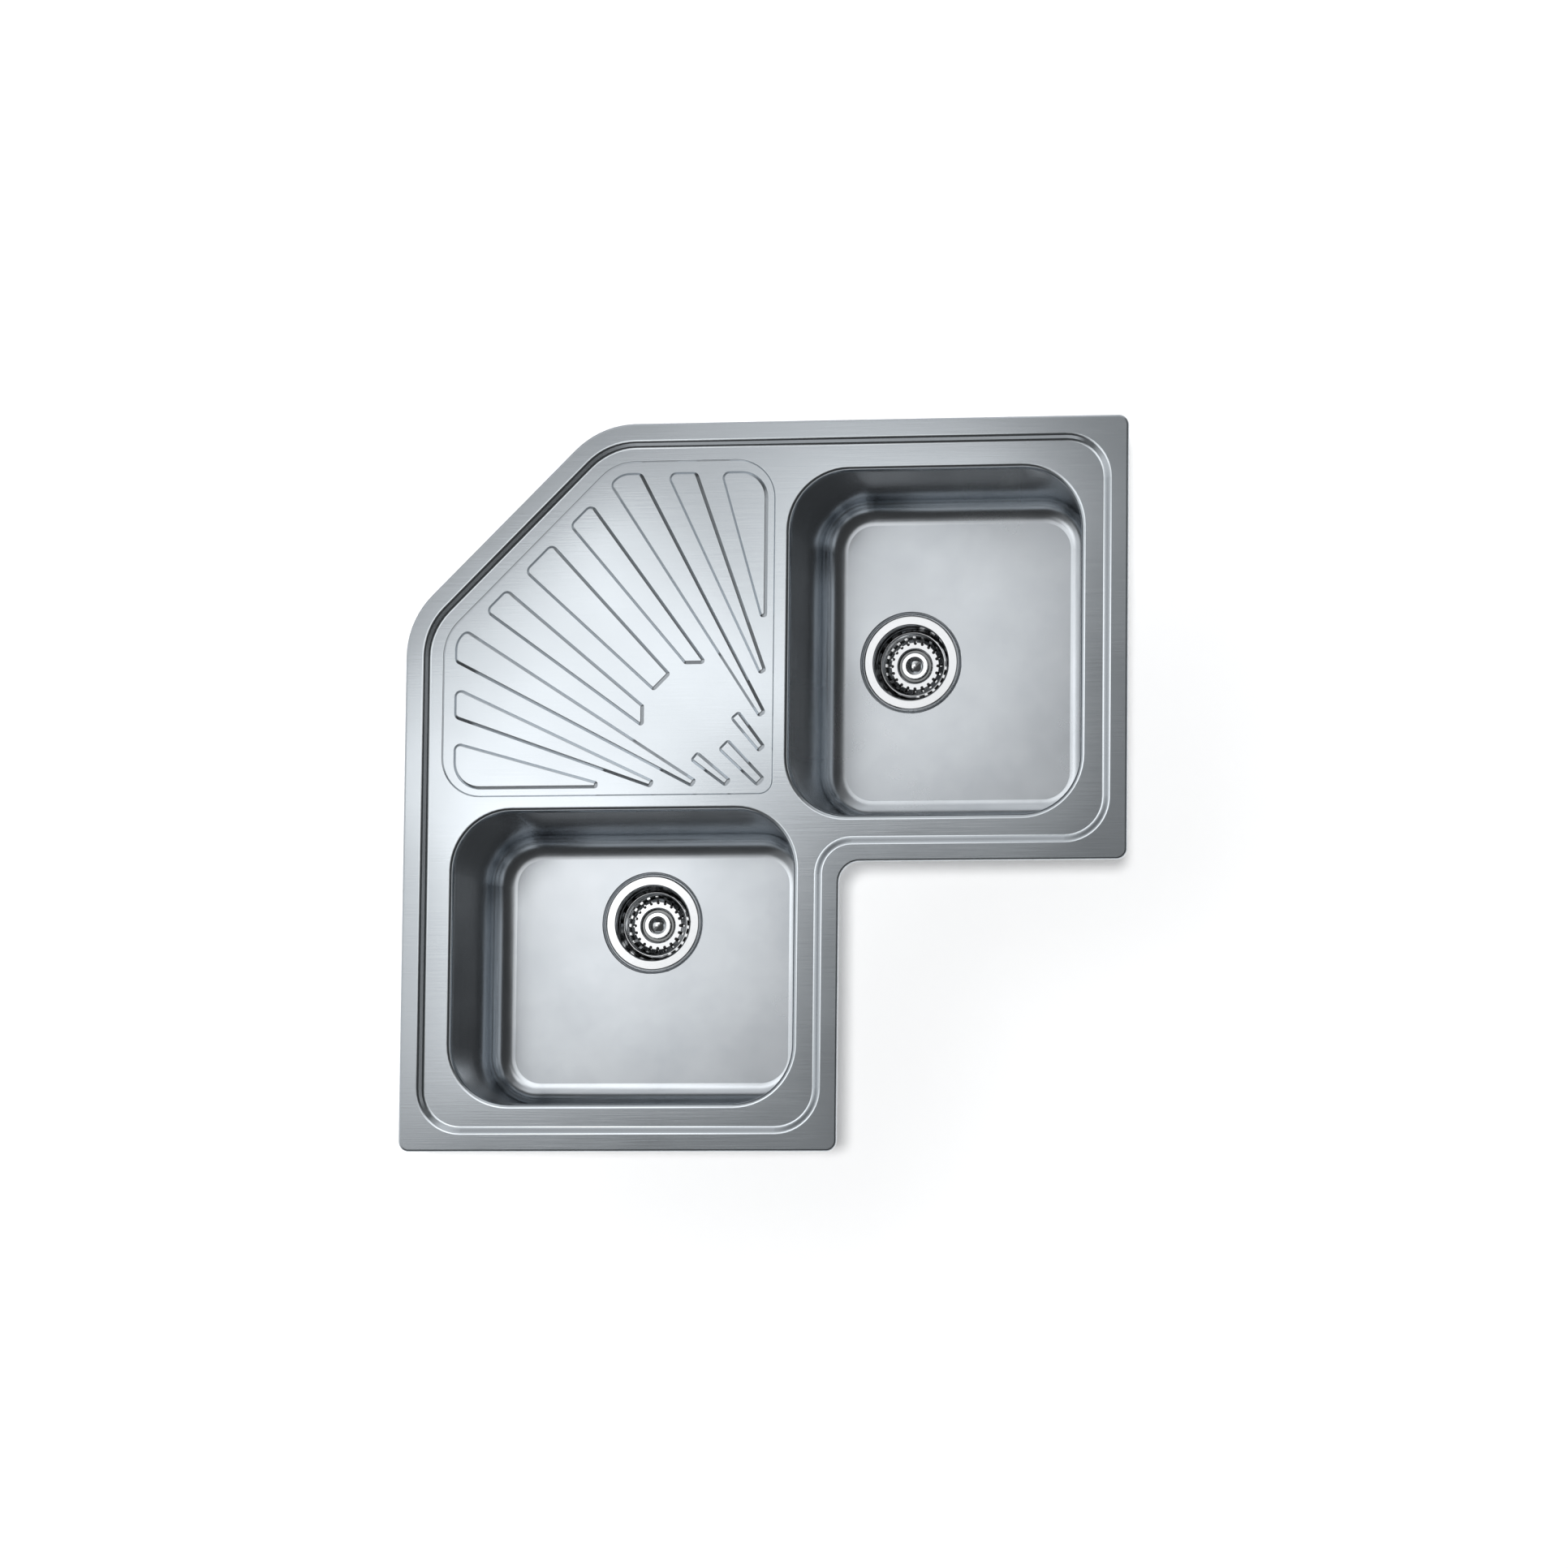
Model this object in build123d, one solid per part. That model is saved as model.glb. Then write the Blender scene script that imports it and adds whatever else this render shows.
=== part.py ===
"""Corner kitchen sink: a pressed deck with two bowls, a ribbed drainer, strainer wastes and fixing clips.

Millimetres, +Z up. The origin is the centre of the square that encloses the outline, on the worktop
(z = 0). The walls are on the -X and +Y sides, and the user stands in the notch towards +X -Y. The whole
sink is its own mirror image in the line y = -x.
"""
from build123d import *
import os
from math import atan, cos, degrees, radians, sin, sqrt, tan

# ---- outline of the rim, seen from above
WALL_CUT = 223.0  # leg of the 45 degree cut at the wall corner
CORNER_R = 12.0  # free corners of the rim
CUT_R = 100.0  # the two blunt corners of the cut
NOTCH_R = 24.0  # inner corner, where the user stands

# ---- the pressed sheet
SHEET = 1.0
RIM_TOP = 4.0  # height of the rim above the worktop
RIM_ROLL = 2.5  # outer edge of the rim
STEP_START = 21.0  # rim edge to the bend at the top of the step
STEP_RUN = 6.0
STEP_DROP = 5.0
STEP_BEND = 5.5
STEP_CORNER_R = 50.0  # free corners at the top of the step
STEP_NOTCH_R = 35.0  # inner corner at the top of the step

# ---- bowls, between their walls at the weld to the deck
BOWL_WIDTH = 332.0
BOWL_LENGTH = 392.5
BOWL_DEPTH = 180.0
BOWL_CORNER_R = 67.0
BOWL_SIDE_BORDER = 54.5  # rim edge to the outer long wall
BOWL_END_BORDER = 58.0  # rim edge to the outer end wall
BOWL_FRONT_BORDER = 53.0  # rim edge in the notch to the other end wall
BOWL_PASS = 7.0  # how far the rounded corners of the two bowls pass each other
BOWL_ROLL = 5.5  # rolled edge round each opening
BOWL_DRAFT = 4.0  # degrees
FLOOR_BEND = 26.0
WELD_DEPTH = 13.0  # deck to the butt weld between deck and bowl

# ---- drainer panel and its ribs
PANEL_INSET = 42.5  # rim edge to the panel
PANEL_TO_BOWL = 17.5  # panel to the nearer wall of each bowl
PANEL_DROP = 1.6
PANEL_CORNER_R = 45.0
PANEL_TIP_R = 16.0  # the panel's corner between the bowls
PANEL_BEND = 1.0
RIB_HEIGHT = 3.2
RIB_BEND = 1.2
RIB_TIP_R = 4.0
RIB_END_R = 8.0  # the corners of a rib's wide end, beside the panel's border
RIB_MARGIN_OUT = 13.4  # panel edge to the ribs, towards the rim
RIB_CUT_R = 25.0  # rounding of the ribs' border beside the wall corner's cut
RIB_MARGIN_IN = 8.6  # panel edge to the ribs, towards the bowls
FLANK_ANGLE = 45.0  # slope of the panel's edge and of the ribs' sides
# Each rib widens from its tip. Tips are (left, up) from the field's corner between the bowls, angles are
# those of its upper and lower sides above the field's lower edge, and a length stops it short.
RIBS_ABOVE_LOWER_EDGE = (
    {"upper": ((193.3, 7.8), 15.9), "lower": ((193.3, 0.0), 0.0)},
    {"upper": ((127.3, 8.0), 25.4), "lower": ((132.3, 0.0), 19.7)},
    {"upper": ((78.6, 8.3), 33.1), "lower": ((84.6, 0.0), 27.9)},
    {"upper": ((140.8, 94.5), 40.2), "lower": ((140.8, 67.6), 36.2)},
    {"upper": ((38.8, 8.1), 40.1), "lower": ((45.8, 0.0), 36.8), "length": 52.0},
)
RIBS_ON_DIAGONAL = (
    {"upper": ((110.1, 129.9), 47.5), "lower": ((129.9, 110.1), 42.5)},
    {"upper": ((0.0, 9.5), 46.6), "lower": ((9.5, 0.0), 43.4), "length": 63.0},
)

# ---- seal under the rim
SEAL_INSET = 4.0
SEAL_WIDTH = 10.0

# ---- waste, heights measured down from the bowl's floor
WASTE_TO_WALL = 110.5  # waste centre to the bowl's wall beside the drainer
SEAT_DROP = 2.8  # recess in the floor that takes the flange, with a 45 degree edge
SEAT_CLEARANCE = 0.5  # flange edge to the recess
SEAT_BEND = 1.5
WASTE_HOLE_R = 45.0
FLANGE_R = 55.5
FLANGE_BEND = 1.8  # rounding of the flange's edge
FLANGE_LIP_GAP = 0.4  # flange lip to the recess
STRAINER_SHEET = 0.8
CUP_CLEARANCE = 1.0  # cup to the hole in the bowl
CUP_TAPER = 1.4
CUP_LEDGE = 3.4
CUP_LEDGE_DEPTH = 12.0
CUP_LEDGE_DROP = 10.0
CUP_DEPTH = 38.0
CUP_BEND = 1.6
DRAIN_HOLE_R = 4.2
DRAIN_HOLE_MARGIN = 1.4  # drain holes to the basket's seal round them
DRAIN_HOLES = 8
GASKET_CLEARANCE = 1.0
BODY_SEAL_THICKNESS = 3.0

# ---- strainer basket, heights measured down from the bowl's floor
BASKET_SHEET = 0.8
BASKET_CLEARANCE = 2.0  # basket rim to the cup's wall below the ledge
BASKET_RIM = 1.0
BASKET_RIM_LIFT = 5.0  # basket rim above the foot of the cup's ledge
BASKET_WALL_RUN = 8.0
BASKET_WELL_R = 20.8
BASKET_WELL_DEPTH = 2.2
BASKET_BEND = 1.5
SLOTS = 20
SLOT_WIDTH = 3.6
SLOT_TO_WELL = 3.9
SLOT_TO_RIM = 4.5
BASKET_SEAL_WIDTH = 6.0
BASKET_SEAL_HEIGHT = 5.6
LIFT_GAP = 0.3  # basket seal to the cup's floor
KNOB_PLATE_R = 15.4
KNOB_PLATE_THICKNESS = 2.2
KNOB_NECK_R = 8.5
KNOB_NECK_HEIGHT = 2.6
KNOB_DOME_R = 10.8
KNOB_DOME_HEIGHT = 4.0
KNOB_EDGE_R = 0.9
STEM_R = 2.2
STEM_LENGTH = 13.0  # below the basket's well
RUNNING_GAP = 0.1

# ---- waste body and its clamp screw
BODY_WALL = 3.0
BODY_RIM_R = 57.0
BODY_RIM_THICKNESS = 5.0
BODY_CUP_CLEARANCE = 2.0  # round the hole in the bowl
BODY_CUP_ROOM = 4.2  # under the strainer cup
BODY_FUNNEL_DROP = 17.0
OUTLET_R = 23.9  # over the thread of a 1 1/2 inch pipe fitting
OUTLET_BORE_R = 19.5
OUTLET_LENGTH = 34.0
BOSS_R = 9.5
BOSS_LENGTH = 20.0
BOSS_RIBS = 4
BOSS_RIB_THICKNESS = 3.0
INSERT_R = 6.5
INSERT_LENGTH = 14.0
CLAMP_SCREW_R = 4.0
CLAMP_HEAD_R = 7.0
CLAMP_HEAD_HEIGHT = 2.8
CLAMP_SCREW_LENGTH = 18.0

# ---- fixing clips, in a frame whose x points outwards across the rim's edge
CLIP_TO_STEP = 8.8  # foot of the step to the clip's screw
BRACKET_WIDTH = 11.0
BRACKET_SHEET = 1.5
BRACKET_SPAN = 24.0
BRACKET_FOOT = 10.0
BRACKET_DEPTH = 17.0
BRACKET_BEND = 2.0
NUT_R = 5.0
NUT_HEIGHT = 3.0
CLIP_SCREW_R = 2.45
CLIP_SCREW_LENGTH = 45.0
CLIP_SCREW_REACH = 3.0  # tip above the bracket's base when the clip is slack
CLIP_HEAD_R = 4.6
CLIP_HEAD_HEIGHT = 3.4
SCREW_TIP_CHAMFER = 0.8
WASHER_R = 5.2
WASHER_THICKNESS = 1.0
CLAW_SHEET = 2.0
CLAW_WIDTH = 14.0
CLAW_TAIL = 8.0  # behind the screw
CLAW_TIP_INSET = 6.0  # rim edge to the claw's tip
CLAW_RISE = 19.0
CLAW_BEND = 3.0
CLAW_TEETH = 3
CLAW_TOOTH_DEPTH = 2.0
CLAW_PARKED = 90.0  # degrees from straight out to along the edge, as the sink is supplied
HOLE_CLEARANCE = 0.3

# ---- sound-deadening pads
PAD_THICKNESS = 2.5
PAD_CORNER_R = 12.0
PAD_TO_WASTE = 76.0  # waste centre to the pad
PAD_TO_WALL = 55.5  # pad to the bowl's outer long wall
PAD_TO_END = 96.0  # pad to the bowl's end walls

# ---- sizes, levels and places that follow from the sizes above
SIDE = BOWL_END_BORDER + BOWL_LENGTH - BOWL_PASS + BOWL_WIDTH + BOWL_SIDE_BORDER
ARM = BOWL_END_BORDER + BOWL_LENGTH + BOWL_FRONT_BORDER  # front-to-back depth of each arm
DECK_TOP = RIM_TOP - STEP_DROP
DECK_UNDER = DECK_TOP - SHEET
PANEL_TOP = DECK_TOP - PANEL_DROP
WELD_Z = DECK_TOP - WELD_DEPTH
FLOOR_TOP = DECK_TOP - BOWL_DEPTH
FLANK_SHIFT = SHEET * tan(radians(FLANK_ANGLE / 2))
STEP_SHIFT = SHEET * (sqrt(STEP_RUN**2 + STEP_DROP**2) - STEP_RUN) / STEP_DROP
PANEL_EDGE = SIDE / 2 - BOWL_SIDE_BORDER - BOWL_WIDTH - PANEL_TO_BOWL
WASTE_OFFSET = BOWL_WIDTH / 2 - WASTE_TO_WALL
SEAT_TOP = -SEAT_DROP
SEAT_R = FLANGE_R + SEAT_CLEARANCE
CUP_TOP_R = WASTE_HOLE_R - CUP_CLEARANCE
CUP_LEDGE_R = CUP_TOP_R - CUP_TAPER
CUP_LOWER_R = CUP_LEDGE_R - CUP_LEDGE
CUP_LEDGE_FOOT = -CUP_LEDGE_DEPTH - CUP_LEDGE_DROP
CUP_FLOOR = -CUP_DEPTH
CUP_UNDER = CUP_FLOOR - STRAINER_SHEET
BASKET_RIM_R = CUP_LOWER_R - BASKET_CLEARANCE
BASKET_RIM_TOP = CUP_LEDGE_FOOT + BASKET_RIM_LIFT
BASKET_WALL_TOP_R = BASKET_RIM_R - BASKET_RIM
BASKET_FLOOR_R = BASKET_WALL_TOP_R - BASKET_WALL_RUN
BASKET_FLOOR_TOP = CUP_FLOOR + LIFT_GAP + BASKET_SEAL_HEIGHT + BASKET_SHEET
WELL_TOP = BASKET_FLOOR_TOP - BASKET_WELL_DEPTH
BASKET_SEAL_R = BASKET_WELL_R + BASKET_SHEET
BODY_TOP = SEAT_TOP - SHEET - BODY_SEAL_THICKNESS
BODY_CUP_R = WASTE_HOLE_R + BODY_CUP_CLEARANCE
BODY_CUP_FLOOR = CUP_UNDER - BODY_CUP_ROOM
BODY_FUNNEL_FLOOR = BODY_CUP_FLOOR - BODY_FUNNEL_DROP
CLIP_INSET = STEP_START + STEP_RUN + CLIP_TO_STEP
OVERCUT = 2.0  # how far a cutting body runs past the face it cuts
TOLERANCE = 0.01  # places and sizes nearer than this are the same
LEVEL = 0.99  # least height part of a level face's normal
SHARP = 0.1  # least sine of the angle between two sides at a sharp corner

RIGHT_BOWL_X = SIDE / 2 - BOWL_SIDE_BORDER - BOWL_WIDTH / 2
RIGHT_BOWL_Y = SIDE / 2 - BOWL_END_BORDER - BOWL_LENGTH / 2
BOWL_PLACES = {
    "left": Location((-RIGHT_BOWL_Y, -RIGHT_BOWL_X, 0), (0, 0, -90)),
    "right": Location((RIGHT_BOWL_X, RIGHT_BOWL_Y, 0)),
}


# ---- faces seen from above


def sink_face(inset, corner_r, notch_r):
    """The sink's outline moved inwards by inset."""
    half = SIDE / 2 - inset
    notch = ARM - SIDE / 2 - inset
    cut = SIDE - WALL_CUT - inset * sqrt(2)
    points = [
        (half, half),
        (half - cut, half),
        (-half, cut - half),
        (-half, -half),
        (notch, -half),
        (notch, -notch),
        (half, -notch),
    ]
    cut_r = CUT_R - inset
    radii = [corner_r, cut_r, cut_r, corner_r, corner_r, notch_r, corner_r]
    return make_face(FilletPolyline(points, radius=radii, close=True))


def rim_face(inset):
    """The rim's own corners."""
    return sink_face(inset, max(CORNER_R - inset, SHEET), NOTCH_R + inset)


def step_face(inset):
    """The wider corners of the step inside the rim."""
    inwards = inset - STEP_START
    return sink_face(inset, STEP_CORNER_R - inwards, STEP_NOTCH_R + inwards)


def panel_face(outer, inner, cut_r):
    """The drainer panel, moved inwards by outer on the rim's side and by inner on the bowls' side."""
    half = SIDE / 2 - PANEL_INSET - outer
    edge = PANEL_EDGE - inner
    cut = SIDE - WALL_CUT - (PANEL_INSET + outer) * sqrt(2)
    points = [(edge, half), (half - cut, half), (-half, cut - half), (-half, -edge), (edge, -edge)]
    corner_r = PANEL_CORNER_R - outer
    radii = [corner_r, cut_r, cut_r, corner_r, PANEL_TIP_R - inner]
    return make_face(FilletPolyline(points, radius=radii, close=True))


def is_sharp(vertex, face):
    """Whether two sides of the face meet at the vertex at an angle."""
    corner = Vector(vertex)
    directions = []
    for edge in face.edges():
        for end in (0, 1):
            if (edge.position_at(end) - corner).length < TOLERANCE:
                directions.append(edge.tangent_at(end))
    return directions[0].cross(directions[1]).length > SHARP


def rib_face(rib):
    """One rib's outline: a wedge between two sides, stopped by the border round all the ribs."""
    corner = PANEL_EDGE - RIB_MARGIN_IN
    length = rib.get("length", SIDE)
    ends = []
    for side in ("upper", "lower"):
        (left, up), angle = rib[side]
        tip = Vector(corner - left, up - corner)
        run = Vector(-cos(radians(angle)), sin(radians(angle))) * length
        ends.append((tip, tip + run))
    (upper_tip, upper_root), (lower_tip, lower_root) = ends
    wedge = make_face(Polyline(upper_tip, upper_root, lower_root, lower_tip, close=True))
    face = (wedge & panel_face(RIB_MARGIN_OUT, RIB_MARGIN_IN, RIB_CUT_R)).faces()[0]
    tips = []
    for vertex in face.vertices():
        to_tips = [(Vector(vertex) - tip).length for tip in (upper_tip, lower_tip)]
        if min(to_tips) < TOLERANCE:
            tips.append(vertex)
    pointed = fillet(tips, RIB_TIP_R)
    wide_end = [vertex for vertex in pointed.vertices() if is_sharp(vertex, pointed)]
    return fillet(wide_end, RIB_TIP_R if "length" in rib else RIB_END_R)


def rib_faces():
    """All ribs: those above the panel's lower edge, their mirror images and the two on the diagonal."""
    diagonal = Plane(origin=(0, 0, 0), z_dir=(1, 1, 0))
    faces = []
    for rib in RIBS_ABOVE_LOWER_EDGE:
        face = rib_face(rib)
        faces.append(face)
        faces.append(mirror(face, about=diagonal))
    for rib in RIBS_ON_DIAGONAL:
        faces.append(rib_face(rib))
    return faces


def bowl_face(inset):
    """A bowl's outline about its own centre, moved inwards by inset."""
    return RectangleRounded(BOWL_WIDTH - 2 * inset, BOWL_LENGTH - 2 * inset, BOWL_CORNER_R - inset)


# ---- the deck, as the difference of the forms of its upper and lower faces


def flared(face, z, height, lean):
    """A prism on the face at height z whose sides lean outwards, by lean degrees from the vertical."""
    prism = extrude(Pos(0, 0, z) * face, amount=height)
    sides = [side for side in prism.faces() if abs(side.normal_at().Z) < LEVEL]
    return draft(sides, neutral_plane=Plane((0, 0, z)), angle=-lean)


def step_pocket(sink, shift):
    """The space inside the step, lowered by sink and moved outwards by shift."""
    floor = step_face(STEP_START + STEP_RUN - shift)
    return flared(floor, DECK_TOP - sink, STEP_DROP + OVERCUT, degrees(atan(STEP_RUN / STEP_DROP)))


def panel_pocket(sink, shift):
    """The space above the drainer panel."""
    inwards = PANEL_DROP / tan(radians(FLANK_ANGLE)) - shift
    floor = panel_face(inwards, inwards, CUT_R - PANEL_INSET - inwards)
    return flared(floor, PANEL_TOP - sink, PANEL_DROP + OVERCUT, 90 - FLANK_ANGLE)


def rib(face, sink, shift):
    """One raised rib, lowered by sink and drawn in by shift."""
    base = offset(face, amount=-shift) if shift else face
    return flared(base, PANEL_TOP - sink, RIB_HEIGHT, FLANK_ANGLE - 90)


def openings(grow):
    """The openings of both bowls, grown by the sheet for the deck's lower face."""
    opening = extrude(Pos(0, 0, WELD_Z - OVERCUT) * bowl_face(-grow), amount=OVERCUT - WELD_Z)
    return [place * opening for place in BOWL_PLACES.values()]


def level_face(solid, z):
    """The largest flat face at height z."""
    flat = [face for face in solid.faces() if face.is_planar and abs(face.center().Z - z) < TOLERANCE]
    level = [face for face in flat if abs(face.normal_at().Z) > LEVEL]
    return max(level, key=lambda face: face.area)


def rolled(solid, wires, radius):
    edges = [edge for wire in wires for edge in wire.edges()]
    return fillet(edges, radius)


def sheet_form(sink, shift, grow):
    """Everything below one face of the sheet: the upper face, or the lower one a sheet further down."""
    form = extrude(Pos(0, 0, WELD_Z) * rim_face(grow), amount=RIM_TOP - sink - WELD_Z)
    form = rolled(form, [level_face(form, RIM_TOP - sink).outer_wire()], RIM_ROLL - grow)
    form -= step_pocket(sink, shift)
    form = rolled(form, level_face(form, RIM_TOP - sink).inner_wires(), STEP_BEND - grow)
    form = rolled(form, [level_face(form, DECK_TOP - sink).outer_wire()], STEP_BEND + grow)
    form -= openings(grow)
    form = rolled(form, level_face(form, DECK_TOP - sink).inner_wires(), BOWL_ROLL - grow)
    return form


def deck():
    """The pressed sheet, with the rolled edges that the bowls are welded to."""
    faces = rib_faces()
    upper = sheet_form(0, 0, 0) - panel_pocket(0, 0)
    deck_edges = level_face(upper, DECK_TOP).inner_wires()
    panel_edge = max(deck_edges, key=lambda wire: wire.center().Y - wire.center().X)
    upper = rolled(upper, [panel_edge], PANEL_BEND)
    lower = sheet_form(SHEET, STEP_SHIFT, SHEET) - panel_pocket(SHEET, FLANK_SHIFT)
    for face in faces:
        upper += rib(face, 0, 0)
        lower += rib(face, SHEET, FLANK_SHIFT)
    rib_z = PANEL_TOP + RIB_HEIGHT
    rib_tops = [face for face in upper.faces() if abs(face.center().Z - rib_z) < TOLERANCE]
    upper = rolled(upper, [face.outer_wire() for face in rib_tops], RIB_BEND)
    below_worktop = rim_face(-OVERCUT) - step_face(STEP_START - STEP_BEND)
    skirt = extrude(Pos(0, 0, WELD_Z - OVERCUT) * below_worktop, amount=OVERCUT - WELD_Z)
    return upper - lower - skirt


# ---- bowls


def waste_place(side):
    return BOWL_PLACES[side] * Pos(-WASTE_OFFSET, 0, FLOOR_TOP)


def bowl_form(grow, seat_shift):
    """A bowl's inner face, or its outer face one sheet further out, with the seat for the waste."""
    floor_z = FLOOR_TOP - grow
    inset = (WELD_Z - floor_z) * tan(radians(BOWL_DRAFT)) - grow
    form = flared(bowl_face(inset), floor_z, WELD_Z - floor_z, BOWL_DRAFT)
    form = fillet(form.edges().group_by(Axis.Z)[0], FLOOR_BEND + grow)
    seat_r = SEAT_R + seat_shift
    seat = Cone(seat_r, seat_r + SEAT_DROP, SEAT_DROP)
    return form + Pos(-WASTE_OFFSET, 0, floor_z - SEAT_DROP / 2) * seat


def bowl():
    """One bowl about its own centre."""
    solid = bowl_form(SHEET, FLANK_SHIFT) - bowl_form(0, 0)
    hole = Pos(-WASTE_OFFSET, 0, FLOOR_TOP) * Cylinder(WASTE_HOLE_R, 4 * SEAT_DROP)
    solid -= hole
    top_r = SEAT_R + SEAT_DROP
    circles = solid.edges().filter_by(GeomType.CIRCLE)
    lip = [circle for circle in circles if abs(circle.radius - top_r) < TOLERANCE]
    return fillet(lip, SEAT_BEND)


def pad():
    """A sound-deadening pad on the underside of a bowl's floor."""
    start = PAD_TO_WASTE - WASTE_OFFSET
    end = BOWL_WIDTH / 2 - PAD_TO_WALL
    face = RectangleRounded(end - start, BOWL_LENGTH - 2 * PAD_TO_END, PAD_CORNER_R)
    return extrude(Pos((start + end) / 2, 0, FLOOR_TOP - SHEET) * face, amount=-PAD_THICKNESS)


def rim_seal():
    """The strip that the rim rests on, between the rim's edge and the worktop's cut-out."""
    ring = rim_face(SEAL_INSET) - rim_face(SEAL_INSET + SEAL_WIDTH)
    return extrude(ring, amount=RIM_TOP - SHEET)


# ---- the waste, turned about its own axis with z = 0 at the bowl's floor


def turned(points):
    """A solid of revolution from its half section, as (radius, height) points."""
    return revolve(Plane.XZ * make_face(Polyline(points, close=True)), Axis.Z)


def turned_sheet(points, thickness, bend):
    """A dished sheet from the middle line of its half section."""
    strip = trace(FilletPolyline(points, radius=bend), line_width=thickness)
    return revolve(Plane.XZ * strip, Axis.Z)


def ring(outer_r, inner_r, bottom, top):
    return Pos(0, 0, (bottom + top) / 2) * (
        Cylinder(outer_r, top - bottom) - Cylinder(inner_r, top - bottom)
    )


def strainer_cup():
    """Flange and cup in one pressing, with drain holes round the clamp screw."""
    half = STRAINER_SHEET / 2
    points = [
        (FLANGE_R - half, SEAT_TOP + FLANGE_LIP_GAP),
        (FLANGE_R - half, -half),
        (CUP_TOP_R - half, -half),
        (CUP_LEDGE_R - half, -CUP_LEDGE_DEPTH),
        (CUP_LOWER_R - half, CUP_LEDGE_FOOT),
        (CUP_LOWER_R - half, CUP_FLOOR - half),
        (CLAMP_SCREW_R + HOLE_CLEARANCE, CUP_FLOOR - half),
    ]
    bends = [FLANGE_BEND, CUP_BEND, CUP_BEND, CUP_BEND, CUP_BEND]
    cup = turned_sheet(points, STRAINER_SHEET, bends)
    pitch_r = BASKET_SEAL_R - DRAIN_HOLE_MARGIN - DRAIN_HOLE_R
    holes = PolarLocations(pitch_r, DRAIN_HOLES)
    return cup - [place * Pos(0, 0, CUP_FLOOR) * Cylinder(DRAIN_HOLE_R, CUP_BEND * 2) for place in holes]


def flange_seal():
    inner_r = WASTE_HOLE_R + GASKET_CLEARANCE
    outer_r = FLANGE_R - FLANGE_BEND - GASKET_CLEARANCE
    return ring(outer_r, inner_r, SEAT_TOP, -STRAINER_SHEET)


def body_seal():
    inner_r = WASTE_HOLE_R + GASKET_CLEARANCE
    return ring(BODY_RIM_R - GASKET_CLEARANCE, inner_r, BODY_TOP, BODY_TOP + BODY_SEAL_THICKNESS)


def waste_body():
    """The moulded funnel under the bowl, with a boss on ribs for the clamp screw and the outlet."""
    outlet_end = BODY_FUNNEL_FLOOR - OUTLET_LENGTH
    rim_under = BODY_TOP - BODY_RIM_THICKNESS
    shell = turned(
        [
            (BODY_CUP_R, BODY_TOP),
            (BODY_RIM_R, BODY_TOP),
            (BODY_RIM_R, rim_under),
            (BODY_CUP_R + BODY_WALL, rim_under - BODY_WALL),
            (BODY_CUP_R + BODY_WALL, BODY_CUP_FLOOR - BODY_WALL),
            (OUTLET_R, BODY_FUNNEL_FLOOR),
            (OUTLET_R, outlet_end),
            (OUTLET_BORE_R, outlet_end),
            (OUTLET_BORE_R, BODY_FUNNEL_FLOOR + BODY_WALL),
            (BODY_CUP_R, BODY_CUP_FLOOR),
        ]
    )
    boss_bottom = CUP_UNDER - BOSS_LENGTH
    rib_top = BODY_CUP_FLOOR - BODY_WALL
    rib_box = Pos(0, 0, (rib_top + boss_bottom) / 2) * Box(
        2 * BODY_CUP_R, BOSS_RIB_THICKNESS, rib_top - boss_bottom
    )
    inside = turned(
        [
            (0, BODY_TOP),
            (BODY_CUP_R + BODY_WALL / 2, BODY_TOP),
            (BODY_CUP_R + BODY_WALL / 2, BODY_CUP_FLOOR - BODY_WALL / 2),
            (OUTLET_BORE_R + BODY_WALL / 2, BODY_FUNNEL_FLOOR + BODY_WALL / 2),
            (0, BODY_FUNNEL_FLOOR + BODY_WALL / 2),
        ]
    )
    spider = Pos(0, 0, (CUP_UNDER + boss_bottom) / 2) * Cylinder(BOSS_R, BOSS_LENGTH)
    for turn in range(BOSS_RIBS // 2):
        spider += Rot(0, 0, 180 / (BOSS_RIBS // 2) * turn) * rib_box
    boss_bore = Pos(0, 0, CUP_UNDER - BOSS_LENGTH / 2) * Cylinder(INSERT_R, BOSS_LENGTH + OVERCUT)
    return shell + (spider & inside) - boss_bore


def brass_insert():
    return ring(INSERT_R, CLAMP_SCREW_R + RUNNING_GAP, CUP_UNDER - INSERT_LENGTH, CUP_UNDER)


def clamp_screw():
    """The screw that draws cup and body together. Its hollow core guides the basket's stem."""
    tip = CUP_FLOOR - CLAMP_SCREW_LENGTH
    head_top = CUP_FLOOR + CLAMP_HEAD_HEIGHT
    core_r = STEM_R + RUNNING_GAP
    return turned(
        [
            (core_r, head_top),
            (CLAMP_HEAD_R - SCREW_TIP_CHAMFER, head_top),
            (CLAMP_HEAD_R, head_top - SCREW_TIP_CHAMFER),
            (CLAMP_HEAD_R, CUP_FLOOR),
            (CLAMP_SCREW_R, CUP_FLOOR),
            (CLAMP_SCREW_R, tip + SCREW_TIP_CHAMFER),
            (CLAMP_SCREW_R - SCREW_TIP_CHAMFER, tip),
            (core_r, tip),
        ]
    )


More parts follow.
